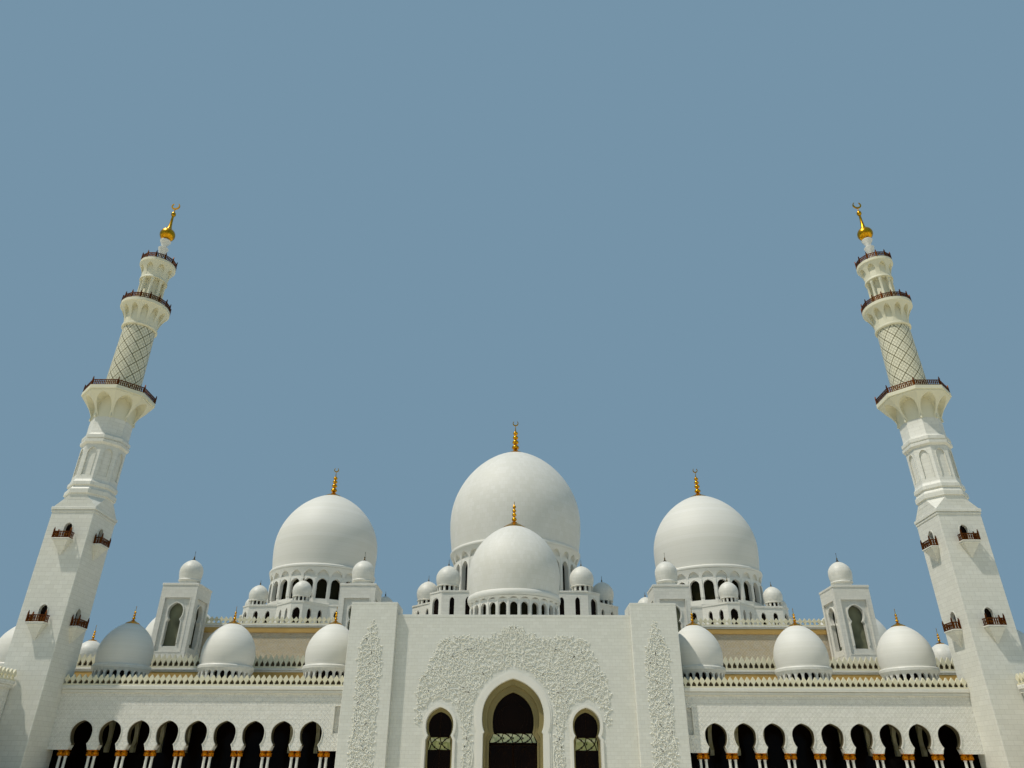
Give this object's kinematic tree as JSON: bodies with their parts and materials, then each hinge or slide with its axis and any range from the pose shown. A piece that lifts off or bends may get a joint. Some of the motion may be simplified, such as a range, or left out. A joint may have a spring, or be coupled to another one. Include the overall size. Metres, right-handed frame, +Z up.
{
  "type": "domed mosque building, 1:10 scale model",
  "caption": "White marble mosque at 1:10: ribbed keyhole arcades, portal with gate leaves that swing, onion domes on windowed drums, tiered roofs and two tall minarets",
  "frame": {"origin": "on the ground, at the bottom centre of the bounding box", "axes": "+X right along the front as seen by someone facing it, +Y from the front to the back, +Z up"},
  "size_m": [17.37, 12.022, 10.7],
  "materials": {
    "white_marble": "honed",
    "carved_cream_stone": "carved",
    "dark_glass": "polished",
    "floral_glass": "etched",
    "gilt_brass": "gilt",
    "bronze_railing": "dark bronze"
  },
  "bodies": {
    "building": {"arcade_colonnade_left": "white_marble", "arcade_colonnade_right": "white_marble", "arcade_parapet_left": "carved_cream_stone", "arcade_parapet_right": "carved_cream_stone", "arcade_roof_left": "white_marble", "arcade_roof_right": "white_marble", "arcade_wall_left": "white_marble", "arcade_wall_right": "white_marble", "floor": "white_marble", "gate_screen": "dark_glass", "hall_front_wall_left": "white_marble", "hall_front_wall_right": "white_marble", "hall_parapet_left": "carved_cream_stone", "hall_parapet_right": "carved_cream_stone", "hall_rear_walls": "white_marble", "inner_gate_arch": "white_marble", "inner_tower_left": "white_marble", "inner_tower_right": "white_marble", "lower_roof": "white_marble", "main_dome": "white_marble", "main_drum": "white_marble", "main_podium": "white_marble", "minaret_lantern_left": "white_marble", "minaret_lantern_right": "white_marble", "minaret_octagon_left": "white_marble", "minaret_octagon_right": "white_marble", "minaret_round_stage_left": "white_marble", "minaret_round_stage_right": "white_marble", "minaret_shaft_left": "white_marble", "minaret_shaft_right": "white_marble", "outer_tower_left": "white_marble", "outer_tower_right": "white_marble", "portal_dome": "white_marble", "portal_drum": "white_marble", "portal_gate_wall": "white_marble", "portal_porch": "white_marble", "portal_wall_left": "white_marble", "portal_wall_right": "white_marble", "pylon_left": "white_marble", "pylon_right": "white_marble", "return_arcade_left": "white_marble", "return_arcade_right": "white_marble", "side_dome_left": "white_marble", "side_dome_right": "white_marble", "side_door_screen_left": "dark_glass", "side_door_screen_right": "dark_glass", "side_drum_left": "white_marble", "side_drum_right": "white_marble", "side_podium_left": "white_marble", "side_podium_right": "white_marble", "upper_front_wall": "white_marble", "upper_parapet": "carved_cream_stone", "upper_rear_walls": "white_marble", "upper_roof": "white_marble"},
    "gate_leaf_left": {"gate_leaf_left": "dark_glass"},
    "gate_leaf_right": {"gate_leaf_right": "dark_glass"}
  },
  "joints": [
    {"name": "gate_hinge_left", "type": "hinge", "parent": "building", "child": "gate_leaf_left", "pos_m": [-0.338, -3.993, 0.3], "axis": [0, 0, 1], "range_deg": [0, 90]},
    {"name": "gate_hinge_right", "type": "hinge", "parent": "building", "child": "gate_leaf_right", "pos_m": [0.338, -3.993, 0.3], "axis": [0, 0, -1], "range_deg": [0, 90]}
  ]
}
